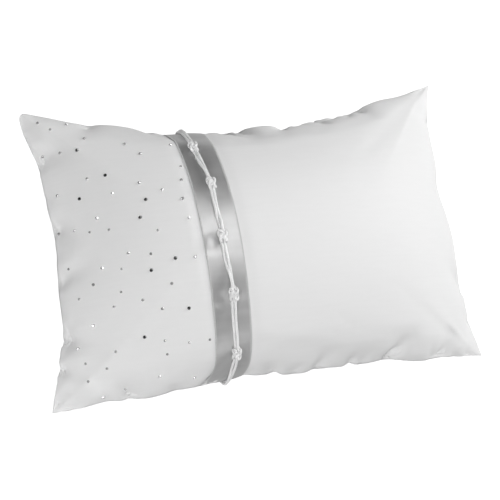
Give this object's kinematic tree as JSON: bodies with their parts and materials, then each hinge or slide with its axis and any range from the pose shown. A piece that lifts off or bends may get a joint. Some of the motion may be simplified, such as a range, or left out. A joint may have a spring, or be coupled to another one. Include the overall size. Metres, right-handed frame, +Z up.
{
  "type": "ring bearer pillow",
  "caption": "Rectangular stuffed satin pillow with a silver ribbon band, a knotted double cord along it and scattered crystals at one end.",
  "frame": {"origin": "under the middle of the pillow, on the surface that it rests on, with the front face up", "axes": "+X along the long side, away from the crystals; +Y along the short side; +Z up, out of the front face"},
  "size_m": [0.295, 0.199, 0.0912],
  "materials": {
    "cover_satin": "matte white bridal satin",
    "filling": "loose polyester fibrefill",
    "ribbon_satin": "silver grey satin ribbon",
    "cord": "white satin rattail cord",
    "thread": "white sewing thread",
    "crystal": "foil-backed cut glass"
  },
  "bodies": {
    "root": {"front_cover": "cover_satin", "back_cover": "cover_satin", "fibrefill": "filling", "ribbon_band": "ribbon_satin", "cord_strand_left": "cord", "cord_strand_right": "cord", "knot_tacks": "thread", "cord_tail_tacks": "thread", "ribbon_lap_stitches": "thread", "closing_stitches": "thread", "crystals_large": "crystal", "crystals_medium": "crystal", "crystals_small": "crystal", "cord_knot_1": "cord", "cord_knot_2": "cord", "cord_knot_3": "cord", "cord_knot_4": "cord", "cord_knot_5": "cord"}
  },
  "joints": []
}
